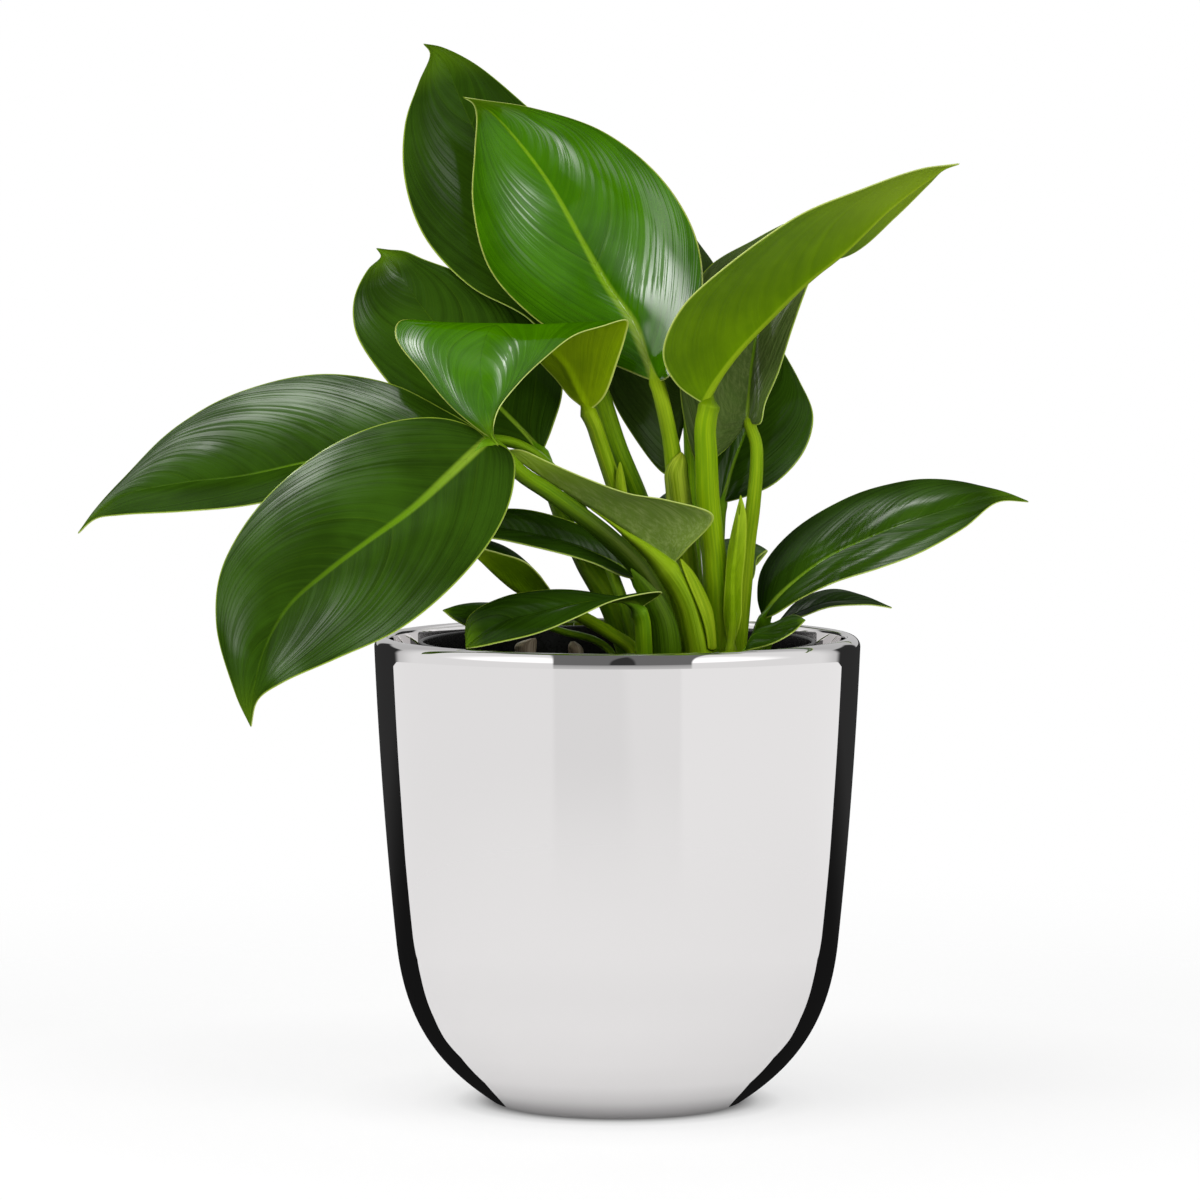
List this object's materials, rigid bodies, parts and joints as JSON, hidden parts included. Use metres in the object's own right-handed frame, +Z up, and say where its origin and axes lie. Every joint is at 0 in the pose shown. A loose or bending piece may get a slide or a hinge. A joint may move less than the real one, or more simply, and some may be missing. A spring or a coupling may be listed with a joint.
{
  "type": "potted plant",
  "caption": "Green philodendron with broad pointed glossy leaves in a black nursery pot, set inside a round mirror-silver planter.",
  "frame": {"origin": "centre of the planter's flat foot, on the surface it stands on", "axes": "+Z up along the planter's axis of revolution; -Y towards the side seen in the picture; +X to the viewer's right"},
  "size_m": [0.2843, 0.1733, 0.319],
  "materials": {
    "silver_planter": "polished",
    "black_pot": "gloss",
    "soil": "matte",
    "crown": "matte",
    "dark_leaf": "gloss",
    "fresh_leaf": "gloss",
    "olive_leaf": "satin",
    "pale_sheath": "satin"
  },
  "bodies": {
    "root": {"planter": "silver_planter", "nursery_pot": "black_pot", "soil": "soil", "crown": "crown", "leaf_tall_back": "dark_leaf", "leaf_bright_main": "fresh_leaf", "leaf_middle_left": "dark_leaf", "leaf_bright_folded": "fresh_leaf", "leaf_rising_right": "olive_leaf", "leaf_behind_right": "dark_leaf", "leaf_shaded_center": "dark_leaf", "leaf_back_right": "dark_leaf", "leaf_far_left": "dark_leaf", "leaf_front_left": "dark_leaf", "leaf_center_curled": "olive_leaf", "leaf_low_left": "dark_leaf", "leaf_rim_front": "dark_leaf", "leaf_rim_left": "dark_leaf", "leaf_folded_low": "olive_leaf", "leaf_far_right": "dark_leaf", "leaf_low_right": "dark_leaf", "leaf_rim_right": "dark_leaf", "leaf_back_low": "dark_leaf", "leaf_back_narrow": "dark_leaf", "sheath_pointed": "pale_sheath"}
  },
  "joints": []
}
